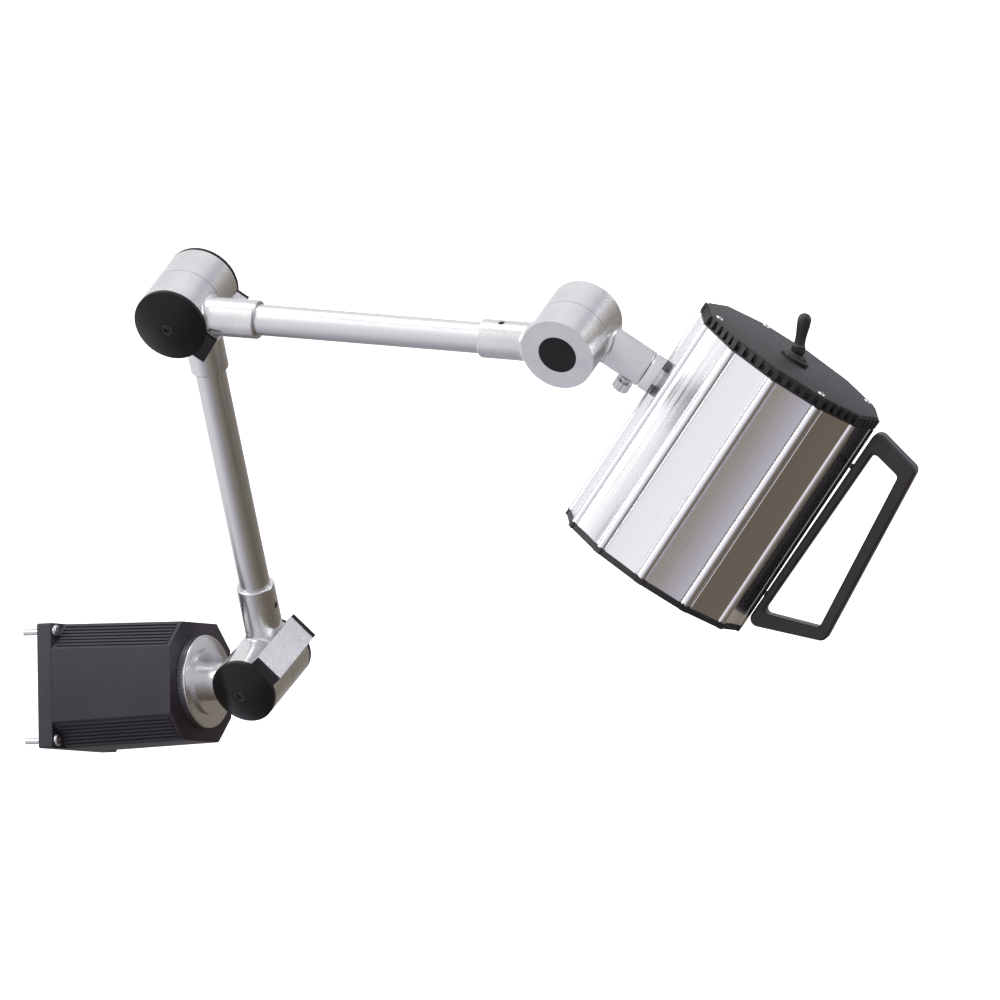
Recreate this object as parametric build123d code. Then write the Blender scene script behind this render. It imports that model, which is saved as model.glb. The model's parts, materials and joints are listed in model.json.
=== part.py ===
from build123d import *
import os
from math import cos, radians, sin

# Articulated work light, in millimetres. +X leaves the mounting face along the bracket, +Z is up,
# and the origin is the centre of the mounting face.

# Bracket box
BOX_BASE = 78.0
BOX_END = 74.0
BOX_LENGTH = 95.0
BOX_CHAMFER = 16.0
BOX_WALL = 3.0
BOX_FLANGE = 10.0
BACK_PLATE = 3.0
BOLT_SPACING = 68.0
STUD_R = 2.0
STUD_WAIST_R = 1.65
STUD_OUT = 12.0
SCREW_HEAD_R = 3.8
GLAND_X = 30.0
GLAND_BORE_R = 3.3

# Turret
TURRET_ROLL = 33.2
TURRET_R = 29.0
TURRET_STEP_R = 20.5
TURRET_FACE = 95.3
TURRET_THICK = 5.5
TURRET_STEP = 2.0
TURRET_NECK_R = 12.0
SPINDLE_R = 8.0

# Knuckles: two half drums side by side on one pivot bolt
BASE_DRUM_R = 21.0
ARM_DRUM_R = 23.5
HALF_WIDTH = 25.0
ROOT_BLEND = 4.0
SEAM = 0.3
SOCKET_R = 12.0
SOCKET_END = 54.0
SOCKET_BORE_START = 25.0
RECESS_R = 13.0
RECESS_DEPTH = 10.5
PLUG_R = 12.3
PLUG_THICK = 1.8
BOLT_R = 4.0
RUNNING = 0.05
BOLT_HEAD_R = 6.5
BOLT_HEAD = 5.0
WASHER_R = 8.5
NUT_R = 7.2
NUT_THICK = 5.5
DISC_R = 17.0
DISC_BORE = 7.0
DISC_THICK = 1.8
COVER_RIM = 2.6
COVER_DOME = 6.0
TAB_WIDTH = 19.0
TAB_OUT = 6.0
COVER_SCREW_R = 2.5

# Arms, angles from +X in the plane each one moves in; the lower tube is twisted in its sockets
TUBE_R = 9.6
TUBE_WALL = 1.5
ARM_TWIST = 3.0
BASE_X = 133.5
LOWER_LENGTH = 263.4
LOWER_ANGLE = 82.5
UPPER_LENGTH = 256.7
UPPER_ANGLE = -10.1
NECK_ANGLE = -45.2
LUG_BASE = 33.4
LUG_ELBOW = -45.0

# Neck and head
NECK_END = 50.0
HEAD_REACH = 121.2
HEAD_DROP = 23.6
HEAD_TWIST = 29.0
HEAD_TURN = -2.9
HEAD_R = 64.6
HEAD_HALF = 79.0
HEAD_WALL = 2.6
RIB_R = 2.4
RIB_SPARE = 0.12
BEZEL = 4.0
VENT_RIM = 3.0
CAP_PLATE = 5.0
HEAD_SIDES = 12
SWIVEL_R = 6.0
GASKET = 2.0
REFLECTOR_DEPTH = 66.0
REFLECTOR_THROAT = 20.0
CAP_SCREW_IN = 7.0
BEZEL_SCREW_IN = 3.8
HEAD_SCREW_R = 1.6

# Handle, in the plane of the head axis and the neck
HANDLE_WIDTH = 16.0
HANDLE_SCREW_R = 1.8
HANDLE_SCREWS = (-50.0, 45.0)

# Switch
TOGGLE_TILT = 22.0
TOGGLE_PIVOT = 4.0

half_gap = SEAM / 2
half_thick = HALF_WIDTH / 2 - half_gap
rear_y = HALF_WIDTH
facet_r = HEAD_R * cos(radians(180 / HEAD_SIDES))
shell_low = -HEAD_HALF + BEZEL
shell_high = HEAD_HALF - CAP_PLATE - VENT_RIM
reflector_top = shell_low + GASKET + REFLECTOR_DEPTH


def rod_x(radius, start, end, y=0.0, z=0.0):
    return Pos((start + end) / 2, y, z) * Rot(0, 90, 0) * Cylinder(radius, end - start)


def rod_y(radius, start, end, x=0.0, z=0.0):
    return Pos(x, (start + end) / 2, z) * Rot(90, 0, 0) * Cylinder(radius, end - start)


def rod_z(radius, start, end, x=0.0, y=0.0):
    return Pos(x, y, (start + end) / 2) * Cylinder(radius, end - start)


def block(low, high):
    size = [b - a for a, b in zip(low, high)]
    centre = [(a + b) / 2 for a, b in zip(low, high)]
    return Pos(*centre) * Box(*size)


def hex_y(radius, start, end):
    return Pos(0, start, 0) * Rot(-90, 0, 0) * extrude(RegularPolygon(radius, 6), end - start)


def turned(angle):
    """Turn about a pivot's axis, +X towards +Z."""
    return Rot(0, -angle, 0)


# Pivot frames: y along the pivot axis to the rear, y = 0 in the middle of the front half
to_rear = Pos(0, rear_y, 0)
base_pivot = Rot(TURRET_ROLL, 0, 0) * Pos(BASE_X, 0, 0)
base_turret = base_pivot * turned(180)
base_arm = base_pivot * to_rear * turned(LOWER_ANGLE)
elbow_pivot = base_arm * Rot(ARM_TWIST, 0, 0) * Pos(LOWER_LENGTH, -rear_y, 0) * turned(-LOWER_ANGLE)
elbow_lower = elbow_pivot * to_rear * turned(LOWER_ANGLE + 180)
elbow_upper = elbow_pivot * turned(UPPER_ANGLE)
wrist_pivot = elbow_upper * Pos(UPPER_LENGTH, 0, 0) * turned(-UPPER_ANGLE)
wrist_upper = wrist_pivot * turned(UPPER_ANGLE + 180)
wrist_neck = wrist_pivot * to_rear * turned(NECK_ANGLE)
swivel = wrist_neck * Rot(-HEAD_TWIST, 0, 0)
head_seat = Pos(HEAD_REACH, 0, -HEAD_DROP) * Rot(0, 0, HEAD_TURN)
head_frame = swivel * head_seat


# ---------------------------------------------------------------- bracket
def octagon(size, x):
    """Square with its corners cut, across the bracket at x."""
    plane = Plane(origin=(x, 0, 0), x_dir=(0, 1, 0), z_dir=(1, 0, 0))
    outline = Rectangle(size, size)
    return plane * chamfer(outline.vertices(), BOX_CHAMFER)


def bracket_housing():
    shell = loft([octagon(BOX_BASE, 0), octagon(BOX_END, BOX_LENGTH)], ruled=True)
    shell += block((0, -BOX_BASE / 2, -BOX_BASE / 2), (BOX_FLANGE, BOX_BASE / 2, BOX_BASE / 2))
    inner_base = octagon(BOX_BASE - 2 * BOX_WALL - 2, -1)
    inner_end = octagon(BOX_END - 2 * BOX_WALL - 2, BOX_LENGTH - 2 * BOX_WALL)
    shell -= loft([inner_base, inner_end], ruled=True)
    shell -= rod_x(SPINDLE_R + RUNNING, BOX_LENGTH - 20, BOX_LENGTH + 1)
    for y, z in corner_points():
        shell -= rod_x(STUD_R + 0.2, -1, BOX_FLANGE + 1, y, z)
    shell -= rod_y(6.0, BOX_BASE / 2 - 8, BOX_BASE, GLAND_X)
    return shell


def corner_points():
    half = BOLT_SPACING / 2
    return [(y, z) for y in (-half, half) for z in (-half, half)]


def bracket_back_plate():
    inner = BOX_BASE - 2 * BOX_WALL - 3.0
    plate = extrude(octagon(inner, 0.5), BACK_PLATE)
    plate -= rod_x(5.0, -1, BACK_PLATE + 2, 0, 22)
    return plate


def mounting_screws():
    group = []
    for y, z in corner_points():
        head = rod_x(SCREW_HEAD_R, BOX_FLANGE, BOX_FLANGE + 2.4, y, z)
        head = fillet(head.edges().filter_by(GeomType.CIRCLE).sort_by(Axis.X)[-1], 1.4)
        head -= Pos(BOX_FLANGE + 1.2, y, z) * Rot(0, 90, 0) * extrude(RegularPolygon(1.3, 6), 3)
        waist = rod_x(STUD_WAIST_R, 0, BOX_FLANGE, y, z)
        group.append(head + waist + rod_x(STUD_R, -STUD_OUT, 0, y, z))
    return Compound(children=group)


def transformer():
    core = block((14, -24, -22), (56, 24, 22))
    coil = block((10, -17, -13), (60, 17, 13))
    return core + coil


def transformer_frame():
    low = BACK_PLATE + 0.5
    frame = block((low, -31, -20), (low + 1.5, 31, 20))
    for side in (-1, 1):
        frame += block((low, side * 24.75 - 0.75, -22), (50, side * 24.75 + 0.75, 22))
    return frame


def transformer_screws():
    low = BACK_PLATE + 2.0
    group = [rod_x(2.4, low, low + 2, 28.2 * s, z) for s in (-1, 1) for z in (-16, 16)]
    return Compound(children=group)


def terminal_block():
    body = block((66, -16, -30), (78, 16, -20))
    for i in range(4):
        body -= rod_z(2.0, -24, -19, 72, -12 + 8 * i)
    return body


def terminal_screws():
    group = [rod_z(1.8, -23.8, -21.5, 72, -12 + 8 * i) for i in range(4)]
    return Compound(children=group)


def cable_gland():
    high = BOX_BASE / 2
    gland = rod_z(5.9, high - 6, high + 0.2)
    gland += Pos(0, 0, high + 0.2) * extrude(RegularPolygon(9, 6), 3.8)
    gland += Pos(0, 0, high + 9) * Cone(7.5, 5.5, 10)
    gland -= rod_z(GLAND_BORE_R, high - 8, high + 20)
    return Pos(GLAND_X, 0, 0) * Rot(-90, 0, 0) * gland


# ---------------------------------------------------------------- turret
def arm_socket(end=SOCKET_END):
    socket = rod_x(SOCKET_R, 0, end)
    edge = socket.edges().filter_by(GeomType.CIRCLE).sort_by(Axis.X)[-1]
    return fillet(edge, 1.2)


def knuckle(outer_side, drum_r, recess_r, socket, bolt_clearance):
    """Half drum about y with a socket along x; the bolt recess opens on one side."""
    outer = outer_side * half_thick
    inner = outer - outer_side * RECESS_DEPTH
    body = rod_y(drum_r, -half_thick, half_thick) + socket
    body = fillet(body.edges().filter_by(GeomType.BSPLINE), ROOT_BLEND)
    body -= rod_y(recess_r, min(inner, outer * 1.2), max(inner, outer * 1.2))
    body -= rod_y(BOLT_R + bolt_clearance, -half_thick - 1, half_thick + 1)
    wire_y = outer - outer_side * (RECESS_DEPTH - 3.5)
    body -= rod_x(3.0, recess_r - 3, SOCKET_BORE_START + 4, wire_y)
    return body


def tube_knuckle(outer_side, drum_r, recess_r, bolt_clearance, side_lug=None):
    """Half drum whose socket takes an arm tube, held by a set screw."""
    body = knuckle(outer_side, drum_r, recess_r, arm_socket(), bolt_clearance)
    if side_lug is not None:
        body += side_lug
    body -= rod_x(TUBE_R, SOCKET_BORE_START, SOCKET_END + 1)
    return body - rod_z(2.0, -SOCKET_R - 2, -TUBE_R + 0.5, 40)


def turret_knuckle():
    drum_to_face = BASE_X - TURRET_FACE
    neck = rod_x(TURRET_NECK_R, 0, drum_to_face)
    body = knuckle(-1, BASE_DRUM_R, RECESS_R, neck, RUNNING)
    disc = rod_x(TURRET_R, drum_to_face - TURRET_THICK, drum_to_face)
    disc = fillet(disc.edges().filter_by(GeomType.CIRCLE).sort_by(Axis.X)[0], 0.8)
    step = rod_x(TURRET_STEP_R, drum_to_face - TURRET_THICK - TURRET_STEP, drum_to_face - 1)
    body += disc + step
    body += rod_x(SPINDLE_R, drum_to_face - 1, drum_to_face + 22)
    body -= rod_x(4.5, SOCKET_BORE_START, drum_to_face + 30)
    body -= Pos(26.5, -6, 0) * Rot(60, 0, 0) * rod_z(2.0, -14, -5)
    return base_turret * body


def turret_set_screw():
    return base_turret * Pos(26.5, -6, 0) * Rot(60, 0, 0) * rod_z(2.0, -8.5, -5.0)


def turret_nut():
    low = BOX_LENGTH - 2 * BOX_WALL - 2.2 - 7
    ring = Pos(low, 0, 0) * Rot(0, 90, 0) * extrude(RegularPolygon(13, 6), 7)
    return ring - rod_x(SPINDLE_R, low - 1, low + 8)


def turret_washer():
    high = BOX_LENGTH - 2 * BOX_WALL - 0.2
    return rod_x(15, high - 2.0, high) - rod_x(SPINDLE_R, high - 3, high + 1)


# ---------------------------------------------------------------- knuckle hardware
def lug(angle, front, back, drum_r):
    """Bridging lug outside the drum, at an angle in the arm plane."""
    shape = block((drum_r - 3, front, -TAB_WIDTH / 2), (drum_r + TAB_OUT - 0.5, back, TAB_WIDTH / 2))
    return turned(angle) * shape


def base_rear_knuckle():
    front = -half_thick - rear_y - half_gap
    reach = lug(LUG_BASE - LOWER_ANGLE, front, half_thick, BASE_DRUM_R)
    reach -= rod_y(BASE_DRUM_R + 0.35, front - 2, -half_thick)
    return base_arm * (tube_knuckle(1, BASE_DRUM_R, RECESS_R, 0.0, reach) - disc_seat())


def disc_seat():
    """Seat for the friction disc in the seam face of a rear half."""
    seat = -half_thick + DISC_THICK - half_gap
    return rod_y(DISC_R + 0.1, -half_thick * 1.2, seat)


def elbow_rear_knuckle():
    side_lug = lug(LUG_ELBOW - LOWER_ANGLE - 180, -half_thick, half_thick, ARM_DRUM_R)
    return elbow_lower * (tube_knuckle(1, ARM_DRUM_R, RECESS_R, 0.0, side_lug) - disc_seat())


def elbow_front_knuckle():
    side_lug = lug(LUG_ELBOW - UPPER_ANGLE, -half_thick, half_thick, ARM_DRUM_R)
    return elbow_upper * tube_knuckle(-1, ARM_DRUM_R, RECESS_R, RUNNING, side_lug)


def wrist_front_knuckle():
    return wrist_upper * tube_knuckle(-1, ARM_DRUM_R, PLUG_R, RUNNING)


def friction_disc():
    seam = -half_thick
    disc = rod_y(DISC_R, seam - half_gap + 0.05, seam + DISC_THICK - half_gap)
    return disc - rod_y(DISC_BORE, -50, 50)


def pivot_bolt():
    """Bolt from the front recess to the nut, in the rear half's frame."""
    head_seat = -rear_y - half_thick + RECESS_DEPTH
    under_head = head_seat - 3.4
    shank = rod_y(BOLT_R, under_head, half_thick - RECESS_DEPTH + NUT_THICK + 1.5)
    head = rod_y(BOLT_HEAD_R, under_head - BOLT_HEAD, under_head)
    socket = hex_y(3.4, under_head - BOLT_HEAD - 1, under_head - 2)
    return shank + head - socket


def spring_washers():
    head_seat = -rear_y - half_thick + RECESS_DEPTH
    washers = []
    for i in range(3):
        high = head_seat - 0.1 - 1.1 * i
        washers.append(rod_y(WASHER_R - 0.4 * i, high - 1.05, high) - rod_y(BOLT_R, -60, 60))
    return washers


def pivot_nut():
    low = half_thick - RECESS_DEPTH
    return hex_y(NUT_R, low, low + NUT_THICK) - rod_y(BOLT_R, -60, 60)


def cover_blank(drum_r):
    """Domed cover on y = 0, dome towards -y, with a tab along x."""
    rim = rod_y(drum_r, -COVER_RIM, 0)
    tab = block((0, -COVER_RIM, -TAB_WIDTH / 2), (drum_r + TAB_OUT, 0, TAB_WIDTH / 2))
    sphere_r = (drum_r ** 2 + COVER_DOME ** 2) / (2 * COVER_DOME)
    ball = Pos(0, sphere_r - COVER_RIM - COVER_DOME, 0) * Sphere(sphere_r)
    dome = ball & rod_y(drum_r, -COVER_RIM - COVER_DOME - 1, 0)
    body = rim + tab + dome
    inner = Pos(0, sphere_r - COVER_DOME, 0) * Sphere(sphere_r - 0.6)
    body -= inner & rod_y(RECESS_R - 1.0, -COVER_DOME - 2, 1)
    apex = -COVER_RIM - COVER_DOME
    body -= rod_y(4.6, apex - 1, apex + 1.4)
    return body - rod_y(COVER_SCREW_R, apex - 1, 1)


def cover_screw_blank():
    apex = -COVER_RIM - COVER_DOME
    screw = rod_y(4.2, apex + 0.3, apex + 1.4) + rod_y(COVER_SCREW_R, apex + 1.4, -1.5)
    return screw - hex_y(1.9, apex - 1, apex + 1.2)


def front_cover_place(pivot, angle, gap):
    return pivot * Pos(0, -half_thick - gap, 0) * turned(angle)


def rear_cover_place(pivot, angle):
    return pivot * Pos(0, rear_y + half_thick, 0) * turned(angle) * Rot(180, 0, 0)


base_front_place = front_cover_place(base_pivot, LUG_BASE, SEAM)
base_rear_place = rear_cover_place(base_pivot, LUG_BASE)
elbow_front_place = front_cover_place(elbow_pivot, LUG_ELBOW, 0)
elbow_rear_place = rear_cover_place(elbow_pivot, LUG_ELBOW)
lower_cover_places = (base_front_place, base_rear_place, elbow_rear_place)


def group(shape, places):
    return Compound(children=[place * shape for place in places])


def plug_blank():
    return rod_y(PLUG_R, 0, PLUG_THICK)


# ---------------------------------------------------------------- arms
def arm_tube(place, length):
    start = SOCKET_BORE_START + 2
    tube = rod_x(TUBE_R, start, length - start)
    return place * (tube - rod_x(TUBE_R - TUBE_WALL, 0, length))


def arm_set_screws(first, second):
    group = []
    for place in (first, second):
        group.append(place * rod_z(2.0, -SOCKET_R + 0.4, -TUBE_R - 0.02, 40))
    return Compound(children=group)


# ---------------------------------------------------------------- wrist
def wrist_rear_knuckle():
    body = knuckle(1, ARM_DRUM_R, PLUG_R, arm_socket(NECK_END), 0.0)
    body -= rod_x(SWIVEL_R + RUNNING, 24, NECK_END + 1)
    body -= swivel_tilt() * rod_z(2.1, -SOCKET_R - 1, -SWIVEL_R, 42)
    return wrist_neck * (body - disc_seat())


def swivel_tilt():
    return Rot(-10, 0, 0)


def thumb_screw():
    knob = rod_z(5.5, -SOCKET_R - 9, -SOCKET_R - 3, 42) + rod_z(3.4, -SOCKET_R - 3, -SOCKET_R - 0.5, 42)
    for i in range(10):
        angle = radians(36 * i)
        knob -= rod_z(0.8, -SOCKET_R - 10, -SOCKET_R - 2.9, 42 + 5.9 * cos(angle), 5.9 * sin(angle))
    shank = rod_z(2.05, -SOCKET_R - 0.5, -SWIVEL_R - 0.5, 42)
    return wrist_neck * swivel_tilt() * (knob + shank)


# ---------------------------------------------------------------- head
def dodecagon(radius):
    return RegularPolygon(radius, HEAD_SIDES)


def prism(radius, low, high):
    return Pos(0, 0, low) * extrude(dodecagon(radius), high - low)


def vertex_points(radius):
    step = 360 / HEAD_SIDES
    angles = [radians(step * i) for i in range(HEAD_SIDES)]
    return [(radius * cos(a), radius * sin(a)) for a in angles]


def head_shell():
    outline = dodecagon(HEAD_R - 1.2)
    for x, y in vertex_points(HEAD_R - RIB_R):
        outline += Pos(x, y) * Circle(RIB_R)
    outline -= dodecagon(HEAD_R - 1.2 - HEAD_WALL)
    shell = Pos(0, 0, shell_low) * extrude(outline, shell_high - shell_low)
    shell -= Rot(0, 0, -HEAD_TURN) * rod_x(SWIVEL_R + 0.4, -HEAD_R - 2, -HEAD_R + 8, 0, HEAD_DROP)
    return head_frame * shell


def bottom_bezel():
    ring = prism(HEAD_R, -HEAD_HALF, shell_low) - prism(HEAD_R - 7.5, -HEAD_HALF - 1, shell_low + 1)
    for x, y in vertex_points(HEAD_R - BEZEL_SCREW_IN)[1::3]:
        ring -= rod_z(HEAD_SCREW_R, -HEAD_HALF - 1, shell_low + 1, x, y)
    return head_frame * ring


def bezel_screws():
    group = []
    for x, y in vertex_points(HEAD_R - BEZEL_SCREW_IN)[1::3]:
        group.append(head_frame * rod_z(HEAD_SCREW_R, -HEAD_HALF + 0.6, shell_low, x, y))
    return Compound(children=group)


def lens_glass():
    return head_frame * prism(HEAD_R - 7.7, -HEAD_HALF + 0.8, shell_low)


def lens_gasket():
    high = shell_low + GASKET
    ring = prism(HEAD_R - 4.6, shell_low, high) - prism(HEAD_R - 10.5, shell_low - 1, high + 1)
    return head_frame * ring


def cup(mouth, throat, depth):
    return Cone(mouth, throat, depth, align=(Align.CENTER, Align.CENTER, Align.MIN))


def reflector():
    mouth = facet_r - 8.0
    wall = 1.2
    bowl = cup(mouth, REFLECTOR_THROAT, REFLECTOR_DEPTH)
    bowl -= cup(mouth - wall, REFLECTOR_THROAT - wall, REFLECTOR_DEPTH)
    low = shell_low + GASKET
    rim = rod_z(mouth + 1.5, low, low + wall) - rod_z(mouth - 1, low - 2, low + 3)
    floor = rod_z(REFLECTOR_THROAT, reflector_top, reflector_top + wall)
    floor -= rod_z(10.2, reflector_top - 1, reflector_top + 2)
    return head_frame * (Pos(0, 0, low) * bowl + rim + floor)


def lamp_holder():
    top = reflector_top
    body = rod_z(10.0, top - 10, top + 18) + rod_z(14.0, top + 1.4, top + 5)
    return head_frame * (body - rod_z(4.0, top - 12, top - 2))


def lamp():
    top = reflector_top
    bulb = rod_z(5.6, top - 42, top - 14)
    bulb = fillet(bulb.edges().filter_by(GeomType.CIRCLE).sort_by(Axis.Z), 5.0)
    return head_frame * (bulb + rod_z(3.8, top - 20, top - 3))


def heat_shield():
    low = shell_high - 26
    plate = rod_z(52, low, low + 1.2)
    for i in range(8):
        angle = radians(45 * i + 20)
        plate -= rod_z(4, low - 1, low + 3, 36 * cos(angle), 36 * sin(angle))
    for i in range(3):
        angle = radians(120 * i)
        plate += rod_z(2.5, low, shell_high - 0.4, 44 * cos(angle), 44 * sin(angle))
    return head_frame * (plate - rod_z(10, low - 1, low + 3))


def vent_rim():
    ring = prism(HEAD_R - 1.0, shell_high, shell_high + VENT_RIM)
    ring -= prism(HEAD_R - 12.0, shell_high - 1, shell_high + VENT_RIM + 1)
    for x, y in vertex_points(HEAD_R - CAP_SCREW_IN)[1::3]:
        ring -= rod_z(HEAD_SCREW_R, shell_high - 1, shell_high + VENT_RIM + 1, x, y)
    step = 360 / HEAD_SIDES
    for i in range(HEAD_SIDES):
        slot = block((HEAD_R - 13, -7, shell_high + 0.8), (HEAD_R + 2, 7, shell_high + VENT_RIM + 1))
        ring -= Rot(0, 0, step * (i + 0.5)) * slot
    return head_frame * ring


def cap_plate():
    low = HEAD_HALF - CAP_PLATE
    plate = prism(HEAD_R, low, HEAD_HALF)
    edge = plate.edges().group_by(Axis.Z)[-1]
    plate = fillet(edge, 1.5)
    plate -= rod_z(6.0, low - 1, HEAD_HALF + 1)
    for x, y in vertex_points(HEAD_R - CAP_SCREW_IN)[1::3]:
        plate -= rod_z(2.8, HEAD_HALF - 2, HEAD_HALF + 1, x, y)
        plate -= rod_z(HEAD_SCREW_R, low - 1, HEAD_HALF + 1, x, y)
    return head_frame * plate


def cap_screws():
    group = []
    for x, y in vertex_points(HEAD_R - CAP_SCREW_IN)[1::3]:
        screw = rod_z(2.7, HEAD_HALF - 2, HEAD_HALF - 0.4, x, y)
        screw += rod_z(HEAD_SCREW_R, HEAD_HALF - CAP_PLATE - VENT_RIM, HEAD_HALF - 2, x, y)
        group.append(head_frame * screw)
    return Compound(children=group)


def head_mount():
    """Collar and swivel spindle that carry the head on the neck."""
    reach = HEAD_REACH - HEAD_R
    body = rod_x(SOCKET_R, NECK_END + SEAM, reach + 12)
    body = fillet(body.edges().filter_by(GeomType.CIRCLE).sort_by(Axis.X)[0], 0.8)
    body += block((reach - 1.5, -7.5, -22), (reach + 12, 7.5, 22))
    body += rod_x(SWIVEL_R, 26, reach + 12)
    shell_space = prism(HEAD_R + RIB_SPARE, -HEAD_HALF, HEAD_HALF)
    body -= head_seat * shell_space
    body += rod_x(SWIVEL_R, reach - 3, reach + 9)
    body -= rod_x(3.2, 20, reach + 14)
    return swivel * body


def mount_nut():
    reach = HEAD_REACH - HEAD_R + 1.2 + HEAD_WALL + 4.0
    nut = Pos(reach, 0, 0) * Rot(0, 90, 0) * extrude(RegularPolygon(10, 6), 4)
    return swivel * (nut - rod_x(SWIVEL_R, reach - 1, reach + 5))


# ---------------------------------------------------------------- handle
def handle():
    """Bail on one vertex of the head; x away from the axis, z along it."""
    outer = [(65.2, -71.9), (112.0, -53.2), (100.7, 67.1), (66.5, 74.0)]
    inner = [(70.4, -60.0), (104.2, -47.7), (92.9, 56.6), (72.5, 60.5)]
    plane = Plane.XZ.offset(-HANDLE_WIDTH / 2)
    outer_face = fillet(Polygon(*outer, align=None).vertices(), 5)
    inner_face = fillet(Polygon(*inner, align=None).vertices(), 3)
    body = extrude(plane * outer_face, HANDLE_WIDTH)
    body -= extrude(plane * inner_face, HANDLE_WIDTH * 3, both=True)
    edges = body.edges().filter_by(lambda e: abs(abs(e.center().Y) - HANDLE_WIDTH / 2) < 0.01)
    body = fillet(edges, 2.0)
    return body


def handle_on_head():
    body = handle() - prism(HEAD_R + RIB_SPARE, -HEAD_HALF, HEAD_HALF)
    for z in HANDLE_SCREWS:
        body -= rod_x(HANDLE_SCREW_R, 60, 75, 0, z)
    return head_frame * body


def handle_screws():
    screws = [rod_x(HANDLE_SCREW_R, HEAD_R + RIB_SPARE, 69, 0, z) for z in HANDLE_SCREWS]
    return Compound(children=[head_frame * screw for screw in screws])


# ---------------------------------------------------------------- switch
def switch_body():
    low = HEAD_HALF - CAP_PLATE
    body = block((-13, -8, low - 20), (13, 8, low - 1)) + rod_z(6.0, low - 1, HEAD_HALF + 2)
    return head_frame * (body - rod_z(3.2, HEAD_HALF - 6, HEAD_HALF + 4))


def switch_boot_base():
    skirt = rod_z(9.5, HEAD_HALF + 0.05, HEAD_HALF + 5)
    skirt = fillet(skirt.edges().filter_by(GeomType.CIRCLE).sort_by(Axis.Z)[-1], 2.0)
    skirt -= rod_z(6.1, HEAD_HALF - 1, HEAD_HALF + 2.4)
    return head_frame * (skirt - rod_z(5.6, HEAD_HALF + 1, HEAD_HALF + 8))


def toggle_frame():
    return head_frame * Pos(0, 0, HEAD_HALF + TOGGLE_PIVOT) * turned(TOGGLE_TILT)


def toggle_lever():
    return toggle_frame() * (rod_z(2.0, 0, 22) + Sphere(2.8))


def toggle_sheath():
    sheath = rod_z(4.25, 2.6, 26)
    sheath = fillet(sheath.edges().filter_by(GeomType.CIRCLE).sort_by(Axis.Z)[-1], 3.5)
    return toggle_frame() * (sheath - rod_z(2.0, 0, 22))


nodes = {
    "bracket_housing": bracket_housing(),
    "bracket_back_plate": bracket_back_plate(),
    "mounting_screws": mounting_screws(),
    "transformer": transformer(),
    "transformer_frame": transformer_frame(),
    "transformer_screws": transformer_screws(),
    "terminal_block": terminal_block(),
    "terminal_screws": terminal_screws(),
    "cable_gland": cable_gland(),
    "turret_knuckle": turret_knuckle(),
    "turret_set_screw": turret_set_screw(),
    "turret_nut": turret_nut(),
    "turret_washer": turret_washer(),
    "base_rear_knuckle": base_rear_knuckle(),
    "elbow_rear_knuckle": elbow_rear_knuckle(),
    "lower_arm_tube": arm_tube(base_arm, LOWER_LENGTH),
    "lower_arm_set_screws": arm_set_screws(base_arm, elbow_lower),
    "elbow_front_knuckle": elbow_front_knuckle(),
    "wrist_front_knuckle": wrist_front_knuckle(),
    "upper_arm_tube": arm_tube(elbow_upper, UPPER_LENGTH),
    "upper_arm_set_screws": arm_set_screws(elbow_upper, wrist_upper),
    "base_front_cover": base_front_place * cover_blank(BASE_DRUM_R),
    "base_rear_cover": base_rear_place * cover_blank(BASE_DRUM_R),
    "elbow_front_cover": elbow_front_place * cover_blank(ARM_DRUM_R),
    "elbow_rear_cover": elbow_rear_place * cover_blank(ARM_DRUM_R),
    "lower_arm_cover_screws": group(cover_screw_blank(), lower_cover_places),
    "upper_arm_cover_screw": elbow_front_place * cover_screw_blank(),
    "wrist_front_plug": front_cover_place(wrist_pivot, 0, 0) * plug_blank(),
    "wrist_rear_plug": rear_cover_place(wrist_pivot, 0) * plug_blank(),
    "wrist_rear_knuckle": wrist_rear_knuckle(),
    "thumb_screw": thumb_screw(),
    "head_mount": head_mount(),
    "mount_nut": mount_nut(),
    "head_shell": head_shell(),
    "bottom_bezel": bottom_bezel(),
    "bezel_screws": bezel_screws(),
    "lens_glass": lens_glass(),
    "lens_gasket": lens_gasket(),
    "reflector": reflector(),
    "lamp_holder": lamp_holder(),
    "lamp": lamp(),
    "heat_shield": heat_shield(),
    "vent_rim": vent_rim(),
    "cap_plate": cap_plate(),
    "cap_screws": cap_screws(),
    "handle": handle_on_head(),
    "handle_screws": handle_screws(),
    "switch_body": switch_body(),
    "switch_boot_base": switch_boot_base(),
    "toggle_lever": toggle_lever(),
    "toggle_sheath": toggle_sheath(),
}
lower_pivots = (base_arm, elbow_lower * Rot(0, 180, 0))
for body, places in (("lower_arm", lower_pivots), ("wrist", (wrist_neck,))):
    nodes[body + "_friction_discs"] = group(friction_disc(), places)
    nodes[body + "_pivot_bolts"] = group(pivot_bolt(), places)
    nodes[body + "_pivot_nuts"] = group(pivot_nut(), places)
    washers = [place * washer for place in places for washer in spring_washers()]
    nodes[body + "_spring_washers"] = Compound(children=washers)

os.makedirs("parts", exist_ok=True)
for name, shape in nodes.items():
    export_step(shape, os.path.join("parts", name + ".step"))
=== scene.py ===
"""Looks of an articulated machine work light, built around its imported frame."""

import json
import logging
import math
from dataclasses import dataclass
from enum import Enum

import bmesh
import bpy
from mathutils import Matrix, Vector


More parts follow.
